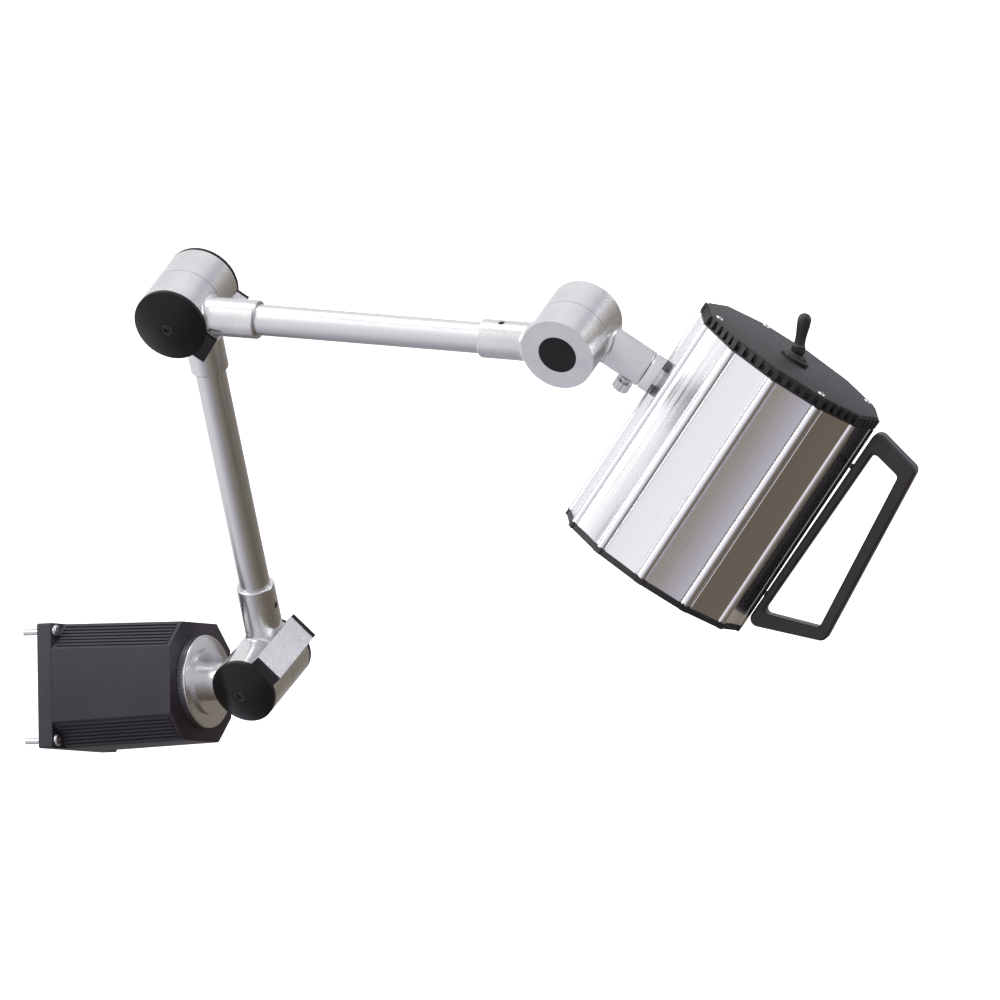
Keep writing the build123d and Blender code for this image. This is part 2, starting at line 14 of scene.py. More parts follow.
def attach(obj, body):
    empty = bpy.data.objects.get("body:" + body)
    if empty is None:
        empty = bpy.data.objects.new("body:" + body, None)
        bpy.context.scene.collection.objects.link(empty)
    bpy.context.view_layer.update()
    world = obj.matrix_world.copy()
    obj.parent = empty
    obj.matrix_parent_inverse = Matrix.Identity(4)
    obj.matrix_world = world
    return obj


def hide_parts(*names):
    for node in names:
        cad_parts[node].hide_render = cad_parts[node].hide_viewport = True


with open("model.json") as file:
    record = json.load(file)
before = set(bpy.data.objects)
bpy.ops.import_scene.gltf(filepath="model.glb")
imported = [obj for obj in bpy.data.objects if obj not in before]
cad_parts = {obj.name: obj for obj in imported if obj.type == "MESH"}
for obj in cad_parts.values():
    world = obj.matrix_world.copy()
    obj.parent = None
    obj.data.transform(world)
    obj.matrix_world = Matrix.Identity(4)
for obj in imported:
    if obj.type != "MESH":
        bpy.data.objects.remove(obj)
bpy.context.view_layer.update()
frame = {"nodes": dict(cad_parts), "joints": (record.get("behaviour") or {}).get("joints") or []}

LOG = logging.getLogger("work_light")
MM = 0.001
SIDES = 12
NEAR_AXIS = 1e-7
SAME_POINT = 1e-6
FRAME_SPACE = Matrix.Identity(4)


class Body(Enum):
    """Bodies of the frame that new pieces ride on."""

    BRACKET = "bracket"
    HEAD = "head"
    TOGGLE = "toggle"


# ------------------------------------------------------------------ places
def joint(name: str) -> dict:
    """Find a joint of the frame.

    Args:
        name: The joint's name.

    Returns:
        The joint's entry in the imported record.
    """
    return next(j for j in frame["joints"] if j["name"] == name)


def placed(origin: Vector, x: Vector, z: Vector) -> Matrix:
    """Make the matrix of a local frame.

    Args:
        origin: Where the local origin lies.
        x: Direction of local x.
        z: Rough direction of local z.

    Returns:
        The matrix from local to frame coordinates.
    """
    ax = x.normalized()
    ay = z.cross(ax).normalized()
    az = ax.cross(ay)
    turn = Matrix((ax, ay, az)).transposed().to_4x4()
    return Matrix.Translation(origin) @ turn


@dataclass(frozen=True)
class Places:
    """Local frames of the light, worked out from its joints."""

    toggle_above_centre: float = 83 * MM
    toggle_lean: float = -22.0

    def head(self) -> Matrix:
        """Give the head's frame: z towards the cap, x towards the handle."""
        flip = joint("toggle_flip")
        across = Vector(flip["axis"])
        up = Vector(joint("head_swivel")["axis"]).cross(across).normalized()
        centre = Vector(flip["pos_m"]) - up * self.toggle_above_centre
        return placed(centre, across.cross(up), up)

    def toggle(self) -> Matrix:
        """Give the toggle's frame at rest: z along the lever."""
        pivot = Vector(joint("toggle_flip")["pos_m"])
        lean = Matrix.Rotation(math.radians(self.toggle_lean), 4, "Y")
        turn = self.head().to_3x3().to_4x4()
        return Matrix.Translation(pivot) @ turn @ lean

    def swivel(self) -> Matrix:
        """Give the neck's frame: z along the swivel axis, away from the wrist."""
        turn = joint("head_swivel")
        return placed(Vector(turn["pos_m"]), Vector(joint("wrist_tilt")["axis"]), Vector(turn["axis"]))


PLACES = Places()


# ------------------------------------------------------------------ meshes
def new_object(name: str, mesh: bpy.types.Mesh) -> bpy.types.Object:
    """Link a mesh into the scene as an object at the origin.

    Args:
        name: The object's name.
        mesh: Its mesh.

    Returns:
        The object.
    """
    piece = bpy.data.objects.new(name, mesh)
    bpy.context.scene.collection.objects.link(piece)
    return piece


def shade(mesh: bpy.types.Mesh, angle: float = 35.0) -> None:
    """Shade smooth, with edges sharper than an angle kept crisp.

    Args:
        mesh: The mesh to shade.
        angle: Largest smooth angle, in degrees.
    """
    mesh.shade_smooth()
    mesh.set_sharp_from_angle(angle=math.radians(angle))


def from_bmesh(name: str, bm: bmesh.types.BMesh, place: Matrix, angle: float = 35.0) -> bpy.types.Object:
    """Turn a bmesh into a placed, shaded object and free it.

    Args:
        name: The object's name.
        bm: The bmesh in local coordinates.
        place: From local to frame coordinates.
        angle: Largest smooth angle, in degrees.

    Returns:
        The object.
    """
    bmesh.ops.remove_doubles(bm, verts=bm.verts, dist=SAME_POINT)
    bmesh.ops.recalc_face_normals(bm, faces=bm.faces)
    bm.transform(place)
    mesh = bpy.data.meshes.new(name)
    bm.to_mesh(mesh)
    bm.free()
    shade(mesh, angle)
    return new_object(name, mesh)


def loft(bm: bmesh.types.BMesh, rings: list[list[tuple[float, float, float]]], ends: bool = True) -> None:
    """Join closed rings of equal count into a skin.

    Args:
        bm: The bmesh to add to.
        rings: Rings of points, in order.
        ends: Whether the first and last rings are closed with a face.
    """
    made = [[bm.verts.new(p) for p in ring] for ring in rings]
    count = len(rings[0])
    for low, high in zip(made, made[1:]):
        for i in range(count):
            k = (i + 1) % count
            bm.faces.new((low[i], low[k], high[k], high[i]))
    if ends:
        bm.faces.new(list(reversed(made[0])))
        bm.faces.new(made[-1])


def lathe(bm: bmesh.types.BMesh, outline: list[tuple[float, float]], steps: int = 64) -> None:
    """Spin an outline of (radius, height) points about z.

    Args:
        bm: The bmesh to add to.
        outline: Points from one end to the other; radius 0 closes an end.
        steps: Faces around.
    """
    rings = []
    for radius, height in outline:
        r = max(radius, NEAR_AXIS)
        rings.append([(r * math.cos(2 * math.pi * i / steps), r * math.sin(2 * math.pi * i / steps), height)
                      for i in range(steps)])
    loft(bm, rings)


def arc(centre: tuple[float, float], radius: float, start: float, end: float, steps: int = 6
        ) -> list[tuple[float, float]]:
    """List points on an arc.

    Args:
        centre: The arc's centre.
        radius: Its radius.
        start: First angle, in degrees.
        end: Last angle, in degrees.
        steps: Spans along it.

    Returns:
        The points, both ends included.
    """
    points = []
    for i in range(steps + 1):
        a = math.radians(start + (end - start) * i / steps)
        points.append((centre[0] + radius * math.cos(a), centre[1] + radius * math.sin(a)))
    return points


def bevelled(piece: bpy.types.Object, width: float, segments: int, angle: float) -> bpy.types.Object:
    """Round a piece's sharp edges for good.

    Args:
        piece: The object.
        width: Bevel width in metres.
        segments: Spans across the bevel.
        angle: Edges sharper than this are rounded, in degrees.

    Returns:
        The same object with a plain mesh.
    """
    bevel = piece.modifiers.new("bevel", "BEVEL")
    bevel.width = width
    bevel.segments = segments
    bevel.limit_method = "ANGLE"
    bevel.angle_limit = math.radians(angle)
    return baked(piece)


def baked(piece: bpy.types.Object) -> bpy.types.Object:
    """Replace a piece's mesh by its evaluated one and drop the modifiers.

    Args:
        piece: The object.

    Returns:
        The same object.
    """
    graph = bpy.context.evaluated_depsgraph_get()
    mesh = bpy.data.meshes.new_from_object(piece.evaluated_get(graph))
    piece.modifiers.clear()
    piece.data = mesh
    return piece


# ------------------------------------------------------------------ node trees
class Nodes:
    """A small hand for building node trees."""

    def __init__(self, tree: bpy.types.NodeTree) -> None:
        """Keep the tree.

        Args:
            tree: The node tree to build in.
        """
        self.tree = tree

    def add(self, kind: str, **settings: object) -> bpy.types.Node:
        """Add a node.

        Args:
            kind: The node's type name.
            **settings: Properties to set on it.

        Returns:
            The node.
        """
        node = self.tree.nodes.new(kind)
        for key, value in settings.items():
            setattr(node, key, value)
        return node

    def join(self, source: bpy.types.NodeSocket, target: bpy.types.NodeSocket) -> None:
        """Link two sockets.

        Args:
            source: An output.
            target: An input.
        """
        self.tree.links.new(source, target)


class Material(Nodes):
    """A shader tree on Object coordinates with a Principled surface."""

    def __init__(self, name: str) -> None:
        """Start an empty material of a name.

        Args:
            name: The material's name.
        """
        self.material = bpy.data.materials.new(name)
        self.material.use_nodes = True
        super().__init__(self.material.node_tree)
        self.tree.nodes.clear()
        self.surface = self.add("ShaderNodeBsdfPrincipled")
        output = self.add("ShaderNodeOutputMaterial")
        self.join(self.surface.outputs[0], output.inputs["Surface"])
        self.coords = self.add("ShaderNodeTexCoord").outputs["Object"]

    def set(self, **values: object) -> None:
        """Set constants on the Principled sockets, with _ for a space."""
        for key, value in values.items():
            self.surface.inputs[key.replace("_", " ")].default_value = value

    def mapped(self, place: Matrix, stretch: tuple[float, float, float]) -> bpy.types.NodeSocket:
        """Turn and stretch the coordinates.

        Args:
            place: Local frame whose axes the pattern follows.
            stretch: Scale along each local axis.

        Returns:
            The mapped coordinates.
        """
        back = place.inverted()
        turn = self.add("ShaderNodeMapping")
        turn.inputs["Location"].default_value = back.to_translation()
        turn.inputs["Rotation"].default_value = back.to_euler("XYZ")
        self.join(self.coords, turn.inputs["Vector"])
        scale = self.add("ShaderNodeMapping")
        scale.inputs["Scale"].default_value = stretch
        self.join(turn.outputs[0], scale.inputs["Vector"])
        return scale.outputs[0]

    def noise(self, vector: bpy.types.NodeSocket, scale: float, detail: float = 3.0,
              roughness: float = 0.55) -> bpy.types.NodeSocket:
        """Add a noise pattern.

        Args:
            vector: Its coordinates.
            scale: Features per metre.
            detail: Octaves.
            roughness: Weight of the fine octaves.

        Returns:
            The pattern's value.
        """
        node = self.add("ShaderNodeTexNoise")
        node.inputs["Scale"].default_value = scale
        node.inputs["Detail"].default_value = detail
        node.inputs["Roughness"].default_value = roughness
        self.join(vector, node.inputs["Vector"])
        return node.outputs["Fac"]

    def ramp(self, value: bpy.types.NodeSocket, low: tuple, high: tuple,
             start: float = 0.3, end: float = 0.7) -> bpy.types.NodeSocket:
        """Turn a value into a colour between two.

        Args:
            value: The value.
            low: Colour at start.
            high: Colour at end.
            start: Value of the first colour.
            end: Value of the second.

        Returns:
            The colour.
        """
        node = self.add("ShaderNodeValToRGB")
        node.color_ramp.elements[0].position = start
        node.color_ramp.elements[1].position = end
        node.color_ramp.elements[0].color = (*low, 1.0)
        node.color_ramp.elements[1].color = (*high, 1.0)
        self.join(value, node.inputs["Fac"])
        return node.outputs["Color"]

    def spread(self, value: bpy.types.NodeSocket, low: float, high: float) -> bpy.types.NodeSocket:
        """Map a value of 0.3 to 0.7 onto a range.

        Args:
            value: The value.
            low: Result at 0.3.
            high: Result at 0.7.

        Returns:
            The result.
        """
        node = self.add("ShaderNodeMapRange")
        node.inputs["From Min"].default_value = 0.3
        node.inputs["From Max"].default_value = 0.7
        node.inputs["To Min"].default_value = low
        node.inputs["To Max"].default_value = high
        self.join(value, node.inputs["Value"])
        return node.outputs["Result"]

    def skin(self, tone: bpy.types.NodeSocket, colours: tuple[tuple, tuple], grain: bpy.types.NodeSocket,
             roughness: tuple[float, float]) -> None:
        """Vary the surface's colour and roughness.

        Args:
            tone: Pattern of the colour.
            colours: The darker and the lighter colour.
            grain: Pattern of the roughness.
            roughness: Its lowest and highest value.
        """
        self.join(self.ramp(tone, *colours), self.surface.inputs["Base Color"])
        self.join(self.spread(grain, *roughness), self.surface.inputs["Roughness"])

    def bump(self, height: bpy.types.NodeSocket, distance: float, strength: float,
             under: bpy.types.NodeSocket | None = None) -> bpy.types.NodeSocket:
        """Add a bump, over another if given, and join it to the surface.

        Args:
            height: Height pattern.
            distance: Depth in metres.
            strength: Weight.
            under: Normal of a bump below.

        Returns:
            The new normal.
        """
        node = self.add("ShaderNodeBump")
        node.inputs["Distance"].default_value = distance
        node.inputs["Strength"].default_value = strength
        self.join(height, node.inputs["Height"])
        if under is not None:
            self.join(under, node.inputs["Normal"])
        self.join(node.outputs[0], self.surface.inputs["Normal"])
        return node.outputs[0]


@dataclass(frozen=True)
class GrainedPlastic:
    """Black moulded plastic with a spark-eroded grain."""

    colour: tuple[float, float, float]
    lighter: tuple[float, float, float]
    roughness: float
    grain: float
    depth: float
    strength: float
    specular: float = 0.5
    mottle: float = 40.0

    def make(self, name: str) -> bpy.types.Material:
        """Build the material.

        Args:
            name: Its name.

        Returns:
            The material.
        """
        m = Material(name)
        fine = m.noise(m.coords, self.grain, 2.0)
        broad = m.noise(m.coords, self.mottle, 4.0)
        m.skin(broad, (self.colour, self.lighter), fine, (self.roughness - 0.06, self.roughness + 0.08))
        m.bump(fine, self.depth, self.strength)
        m.set(IOR=1.5, Specular_IOR_Level=self.specular)
        return m.material


@dataclass(frozen=True)
class SilverLacquer:
    """Die-cast metal under a satin silver lacquer with fine metallic flake."""

    colour: tuple[float, float, float] = (0.62, 0.62, 0.635)
    lighter: tuple[float, float, float] = (0.70, 0.70, 0.71)
    metallic: float = 0.96
    roughness: float = 0.27
    waves: float = 55.0
    wave_depth: float = 0.0002
    flakes: float = 2600.0
    flake_depth: float = 0.00003

    def make(self, name: str) -> bpy.types.Material:
        """Build the material.

        Args:
            name: Its name.

        Returns:
            The material.
        """
        m = Material(name)
        wave = m.noise(m.coords, self.waves, 5.0)
        flake = m.noise(m.coords, self.flakes, 1.0)
        m.skin(wave, (self.colour, self.lighter), flake, (self.roughness - 0.05, self.roughness + 0.07))
        under = m.bump(flake, self.flake_depth, 0.25)
        m.bump(wave, self.wave_depth, 0.12, under)
        m.set(Metallic=self.metallic, IOR=1.5)
        return m.material


@dataclass(frozen=True)
class DrawnMetal:
    """Drawn or extruded aluminium with fine lines along local z."""

    place: Matrix
    colour: tuple[float, float, float]
    lighter: tuple[float, float, float]
    roughness: float
    lines: float = 900.0
    depth: float = 0.00004
    strength: float = 0.3
    bands: float = 120.0
    stretch: float = 0.012

    def make(self, name: str) -> bpy.types.Material:
        """Build the material.

        Args:
            name: Its name.

        Returns:
            The material.
        """
        m = Material(name)
        run = m.mapped(self.place, (1, 1, self.stretch))
        fine = m.noise(run, self.lines, 2.0)
        wide = m.noise(run, self.bands, 3.0)
        m.skin(wide, (self.colour, self.lighter), fine, (self.roughness - 0.05, self.roughness + 0.08))
        m.bump(fine, self.depth, self.strength)
        m.set(Metallic=1.0)
        return m.material


@dataclass(frozen=True)
class PlatedSteel:
    """Plated or blackened steel with faint blotches."""

    colour: tuple[float, float, float]
    lighter: tuple[float, float, float]
    roughness: float
    metallic: float = 1.0
    blotches: float = 400.0

    def make(self, name: str) -> bpy.types.Material:
        """Build the material.

        Args:
            name: Its name.

        Returns:
            The material.
        """
        m = Material(name)
        blotch = m.noise(m.coords, self.blotches, 4.0)
        m.skin(blotch, (self.colour, self.lighter), blotch, (self.roughness - 0.06, self.roughness + 0.1))
        m.bump(blotch, 0.00004, 0.15)
        m.set(Metallic=self.metallic)
        return m.material


@dataclass(frozen=True)
class SoftRubber:
    """Matt moulded rubber."""

    colour: tuple[float, float, float] = (0.012, 0.012, 0.013)
    lighter: tuple[float, float, float] = (0.022, 0.021, 0.022)
    roughness: tuple[float, float] = (0.42, 0.6)
    dusting: float = 300.0

    def make(self, name: str) -> bpy.types.Material:
        """Build the material.

        Args:
            name: Its name.

        Returns:
            The material.
        """
        m = Material(name)
        dust = m.noise(m.coords, self.dusting, 5.0)
        m.skin(dust, (self.colour, self.lighter), dust, self.roughness)
        m.bump(dust, 0.00008, 0.3)
        m.set(IOR=1.5)
        return m.material


@dataclass(frozen=True)
class ClearGlass:
    """Clear glass with faint waviness."""

    tint: tuple[float, float, float] = (0.94, 0.97, 0.96)
    roughness: float = 0.03
    waves: float = 30.0

    def make(self, name: str) -> bpy.types.Material:
        """Build the material.

        Args:
            name: Its name.

        Returns:
            The material.
        """
        m = Material(name)
        wave = m.noise(m.coords, self.waves, 2.0)
        m.bump(wave, 0.0001, 0.05)
        m.set(Base_Color=(*self.tint, 1.0), Roughness=self.roughness, IOR=1.5, Transmission_Weight=1.0)
        return m.material


class Repeat(Nodes):
    """A geometry tree that repeats a block and gives it a material."""

    def __init__(self, name: str, material: bpy.types.Material) -> None:
        """Start a tree with an output for geometry.

        Args:
            name: The tree's name.
            material: Material of the repeated pieces.
        """
        super().__init__(bpy.data.node_groups.new(name, "GeometryNodeTree"))
        self.material = material
        self.values: dict[str, object] = {}
        self.tree.interface.new_socket("Geometry", in_out="OUTPUT", socket_type="NodeSocketGeometry")
        self.entry = self.add("NodeGroupInput")
        self.exit = self.add("NodeGroupOutput")

    def size(self, name: str, kind: str, value: object) -> bpy.types.NodeSocket:
        """Add a named input.

        Args:
            name: The input's name.
            kind: Float, Int or Vector.
            value: Its value for this piece.

        Returns:
            The socket inside the tree.
        """
        self.tree.interface.new_socket(name, in_out="INPUT", socket_type="NodeSocket" + kind)
        self.values[name] = value
        return self.entry.outputs[name]

    def finish(self, instances: bpy.types.NodeSocket) -> None:
        """End the tree with Realize Instances and Set Material.

        Args:
            instances: The repeated blocks.
        """
        real = self.add("GeometryNodeRealizeInstances")
        dress = self.add("GeometryNodeSetMaterial")
        dress.inputs["Material"].default_value = self.material
        self.join(instances, real.inputs["Geometry"])
        self.join(real.outputs["Geometry"], dress.inputs["Geometry"])
        self.join(dress.outputs["Geometry"], self.exit.inputs[0])

    def grow(self, name: str, place: Matrix) -> bpy.types.Object:
        """Bake the tree to a plain, placed mesh.

        Args:
            name: The new object's name.
            place: From local to frame coordinates.

        Returns:
            The object.
        """
        piece = new_object(name, bpy.data.meshes.new(name))
        modifier = piece.modifiers.new("repeat", "NODES")
        modifier.node_group = self.tree
        for item in self.tree.interface.items_tree:
            if item.in_out == "INPUT":
                modifier[item.identifier] = self.values[item.name]
        piece.update_tag()
        bpy.context.view_layer.update()
        baked(piece)
        piece.data.name = name
        piece.data.transform(place)
        shade(piece.data)
        return piece


def ribs(name: str, material: bpy.types.Material, place: Matrix, count: int, pitch: float,
         block: tuple[float, float, float]) -> bpy.types.Object:
    """Repeat a block along local y, centred.

    Args:
        name: The object's name.
        material: Its material.
        place: From local to frame coordinates.
        count: How many blocks.
        pitch: Distance between them.
        block: Size of one along local x, y and z.

    Returns:
        The object.
    """
    g = Repeat(name, material)
    line = g.add("GeometryNodeMeshLine")
    g.join(g.size("Count", "Int", count), line.inputs["Count"])
    g.join(g.size("Start", "Vector", (0.0, -pitch * (count - 1) / 2, 0.0)), line.inputs["Start Location"])
    g.join(g.size("Pitch", "Vector", (0.0, pitch, 0.0)), line.inputs["Offset"])
    cube = g.add("GeometryNodeMeshCube")
    g.join(g.size("Rib size", "Vector", block), cube.inputs["Size"])
    put = g.add("GeometryNodeInstanceOnPoints")
    g.join(line.outputs["Mesh"], put.inputs["Points"])
    g.join(cube.outputs["Mesh"], put.inputs["Instance"])
    g.finish(put.outputs["Instances"])
    return g.grow(name, place)


def blocks_round(name: str, material: bpy.types.Material, place: Matrix, radius: float, per_side: int,
                 block: tuple[float, float, float], height: float) -> bpy.types.Object:
    """Repeat a block along the edge of the head's polygon about local z.

    Args:
        name: The object's name.
        material: Its material.
        place: From local to frame coordinates.
        radius: The polygon's radius to its corners.
        per_side: Blocks on each side.
        block: Size of one along the edge, up, and outward.
        height: Local z of their centres.

    Returns:
        The object.
    """
    g = Repeat(name, material)
    polygon = g.add("GeometryNodeMeshCircle")
    g.join(g.size("Sides", "Int", SIDES), polygon.inputs["Vertices"])
    g.join(g.size("Radius", "Float", radius), polygon.inputs["Radius"])
    curve = g.add("GeometryNodeMeshToCurve")
    g.join(polygon.outputs["Mesh"], curve.inputs["Mesh"])
    points = g.add("GeometryNodeCurveToPoints", mode="COUNT")
    g.join(curve.outputs["Curve"], points.inputs["Curve"])
    g.join(g.size("Blocks", "Int", SIDES * per_side), points.inputs["Count"])
    cube = g.add("GeometryNodeMeshCube")
    g.join(g.size("Block size", "Vector", block), cube.inputs["Size"])
    put = g.add("GeometryNodeInstanceOnPoints")
    align = g.add("FunctionNodeAlignRotationToVector", axis="X")
    g.join(points.outputs["Tangent"], align.inputs["Vector"])
    g.join(points.outputs["Points"], put.inputs["Points"])
    g.join(cube.outputs["Mesh"], put.inputs["Instance"])
    g.join(align.outputs["Rotation"], put.inputs["Rotation"])
    lift = g.add("GeometryNodeTransform")
    g.join(put.outputs["Instances"], lift.inputs["Geometry"])
    g.join(g.size("Height", "Vector", (0.0, 0.0, height)), lift.inputs["Translation"])
    g.finish(lift.outputs["Geometry"])
    return g.grow(name, place)


# ------------------------------------------------------------------ dressing
def dress(material: bpy.types.Material, *nodes: str) -> None:
    """Give CAD nodes a material.

    Args:
        material: The material.
        *nodes: Names of the nodes.
    """
    for node in nodes:
        mesh = frame["nodes"][node].data
        if not mesh.materials:
            mesh.materials.append(material)
        for i in range(len(mesh.materials)):
            mesh.materials[i] = material
        LOG.info("dressed %s", node)


def ride(piece: bpy.types.Object, body: Body, slot: str, material: bpy.types.Material,
         *replaced: str) -> bpy.types.Object:
    """Finish a new piece: material, body and the nodes it stands for.

    Args:
        piece: The object.
        body: The body it rides on.
        slot: Not used; the record's material slot.
        material: Its material.
        *replaced: CAD nodes that it stands for.

    Returns:
        The same object.
    """
    piece.data.materials.clear()
    piece.data.materials.append(material)
    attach(piece, body.value)
    if replaced:
        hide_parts(*replaced)
    LOG.info("%s rides on %s, %d faces", piece.name, body.value, len(piece.data.polygons))
    return piece


# ------------------------------------------------------------------ finishes
class Finishes:
    """Every material of the light, made once."""

    def __init__(self) -> None:
        """Build the materials."""
        self.bracket = GrainedPlastic((0.014, 0.010, 0.018), (0.022, 0.016, 0.028), 0.52, 1300.0,
                                      0.00016, 0.55).make("bracket_black")
        self.cover = GrainedPlastic((0.005, 0.004, 0.005), (0.009, 0.008, 0.009), 0.30, 1800.0,
                                    0.00005, 0.2, 0.22).make("cover_black")
        self.cap = GrainedPlastic((0.020, 0.019, 0.021), (0.032, 0.030, 0.033), 0.55, 1000.0,
                                  0.0002, 0.6, 0.35).make("cap_black")
        self.handle = GrainedPlastic((0.026, 0.022, 0.025), (0.042, 0.036, 0.040), 0.45, 1200.0,
                                     0.0001, 0.4, 0.35).make("handle_black")
        self.casting = SilverLacquer().make("silver_casting")
        self.head = DrawnMetal(PLACES.head(), (0.80, 0.79, 0.82), (0.83, 0.825, 0.85), 0.20, 700.0,
                               0.00001, 0.015).make("head_aluminium")
        self.turned = SilverLacquer((0.66, 0.66, 0.67), (0.74, 0.74, 0.75), 1.0, 0.22
                                    ).make("turned_aluminium")
        self.lower_tube = self.tube("lower_arm_tube", "elbow_tilt", "base_tilt")
        self.upper_tube = self.tube("upper_arm_tube", "wrist_tilt", "elbow_tilt")
        self.steel = PlatedSteel((0.52, 0.52, 0.53), (0.66, 0.66, 0.67), 0.26).make("plated_steel")
        self.black_steel = PlatedSteel((0.02, 0.02, 0.021), (0.05, 0.05, 0.052), 0.38, 0.9
                                       ).make("blackened_steel")
        self.brass = PlatedSteel((0.42, 0.33, 0.15), (0.58, 0.47, 0.24), 0.36).make("brass")
        self.rubber = SoftRubber().make("boot_rubber")
        self.glass = ClearGlass().make("lens_glass")
        self.mirror = PlatedSteel((0.86, 0.86, 0.86), (0.92, 0.92, 0.92), 0.1).make("reflector_bright")
        self.ceramic = GrainedPlastic((0.74, 0.72, 0.67), (0.82, 0.80, 0.76), 0.3, 600.0,
                                      0.00004, 0.15).make("glazed_ceramic")
        self.fibre = GrainedPlastic((0.16, 0.10, 0.06), (0.26, 0.17, 0.10), 0.7, 900.0,
                                    0.0001, 0.6).make("friction_fibre")
        self.core = GrainedPlastic((0.13, 0.10, 0.07), (0.22, 0.17, 0.11), 0.5, 500.0,
                                   0.0001, 0.4).make("varnished_core")

    def tube(self, name: str, far: str, near: str) -> bpy.types.Material:
        """Make a drawn-tube finish whose lines run between two knuckles.

        Args:
            name: The material's name.
            far: Joint at the outer end.
            near: Joint at the inner end.

        Returns:
            The material.
        """
        start, end = Vector(joint(near)["pos_m"]), Vector(joint(far)["pos_m"])
        place = placed(start, Vector(joint(near)["axis"]), end - start)
        return DrawnMetal(place, (0.60, 0.60, 0.615), (0.67, 0.67, 0.685), 0.33).make(name)


# ------------------------------------------------------------------ bracket
@dataclass
class Bracket:
    """The eight-sided box on the machine and what screws to it."""

    flange: float = 10 * MM
    chamfer: float = 16 * MM
    rib_count: int = 7
    rib_pitch: float = 2.9 * MM
    rib_width: float = 1.3 * MM
    rib_height: float = 0.8 * MM
    base_half: float = 39 * MM
    end_half: float = 37 * MM
    length: float = 95 * MM
    flange_cut: float = 1.2 * MM
    edge: float = 1.1 * MM

    def outline(self, half: float, cut: float, x: float) -> list[tuple[float, float, float]]:
        """List the corners of a square with cut corners, across X.

        Args:
            half: Half the square's width.
            cut: How far the corners are cut.
            x: Where it lies along X.

        Returns:
            The eight corners.
        """
        flat = half - cut
        corners = [(half, flat), (flat, half), (-flat, half), (-half, flat),
                   (-half, -flat), (-flat, -half), (flat, -half), (half, -flat)]
        return [(x, y, z) for y, z in corners]

    def housing(self) -> bpy.types.Object:
        """Build the box with its square flange and closed front."""
        bm = bmesh.new()
        share = self.flange / self.length
        half = self.base_half + (self.end_half - self.base_half) * share
        loft(bm, [self.outline(self.base_half, self.flange_cut, 0),
                  self.outline(self.base_half, self.flange_cut, self.flange),
                  self.outline(half, self.chamfer, self.flange),
                  self.outline(self.end_half, self.chamfer, self.length)])
        return bevelled(from_bmesh("bracket_box", bm, FRAME_SPACE, 25), self.edge, 3, 20)

    def chamfer_ribs(self, material: bpy.types.Material) -> bpy.types.Object:
        """Build the fine ribs along the four cut corners.

        Args:
            material: The box's material.

        Returns:
            The ribs as one object.
        """
        made = []
        run = self.length - self.flange
        near = (2 * self.base_half - self.chamfer) / math.sqrt(2)
        far = (2 * self.end_half - self.chamfer) / math.sqrt(2)
        fall = (near - far) * run / self.length
        middle = near - (near - far) * (self.flange + run / 2) / self.length
        for quarter in range(4):
            tilt = Matrix.Rotation(math.atan2(fall, run), 4, "Y")
            turn = Matrix.Rotation(math.radians(45 + 90 * quarter), 4, "X")
            place = turn @ Matrix.Translation((self.flange + run / 2, 0, middle)) @ tilt
            block = (run - 5 * MM, self.rib_width, 2 * self.rib_height)
            name = f"bracket_ribs_{quarter}"
            made.append(ribs(name, material, place, self.rib_count, self.rib_pitch, block))
        return joined(made, "bracket_ribs")

    def build(self, f: Finishes) -> None:
        """Make and dress the bracket.

        Args:
            f: The light's finishes.
        """
        box = joined([self.housing(), self.chamfer_ribs(f.bracket)], "bracket_shell")
        ride(box, Body.BRACKET, "bracket_black", f.bracket, "bracket_housing")
        dress(f.bracket, "bracket_back_plate", "cable_gland")
        dress(f.steel, "mounting_screws", "transformer_screws", "terminal_screws", "transformer_frame")
        dress(f.core, "transformer")
        dress(f.ceramic, "terminal_block")


def joined(pieces: list[bpy.types.Object], name: str) -> bpy.types.Object:
    """Join objects' meshes into one object.

    Args:
        pieces: Objects at the origin.
        name: The new object's name.

    Returns:
        The joined object.
    """
    bm = bmesh.new()
    for piece in pieces:
        bm.from_mesh(piece.data)
        bpy.data.objects.remove(piece)
    mesh = bpy.data.meshes.new(name)
    bm.to_mesh(mesh)
    bm.free()
    shade(mesh)
    return new_object(name, mesh)


# ------------------------------------------------------------------ arms
@dataclass
class Arms:
    """Turret, knuckles, covers and tubes."""

    def build(self, f: Finishes) -> None:
        """Dress the castings, tubes, covers and hardware.

        Args:
            f: The light's finishes.
        """
        dress(f.turned, "turret_knuckle")
        dress(f.casting, "base_rear_knuckle", "elbow_rear_knuckle", "elbow_front_knuckle",
              "wrist_front_knuckle", "wrist_rear_knuckle")
        dress(f.lower_tube, "lower_arm_tube")
        dress(f.upper_tube, "upper_arm_tube")
        dress(f.cover, "base_front_cover", "base_rear_cover", "elbow_front_cover", "elbow_rear_cover",
              "wrist_front_plug", "wrist_rear_plug")
        dress(f.black_steel, "lower_arm_cover_screws", "upper_arm_cover_screw", "lower_arm_set_screws",
              "upper_arm_set_screws")
        dress(f.steel, "lower_arm_pivot_bolts", "lower_arm_pivot_nuts", "lower_arm_spring_washers",
              "wrist_pivot_bolts", "wrist_pivot_nuts", "wrist_spring_washers", "turret_nut",
              "turret_washer", "thumb_screw")
        dress(f.fibre, "lower_arm_friction_discs", "wrist_friction_discs")
        dress(f.brass, "turret_set_screw")


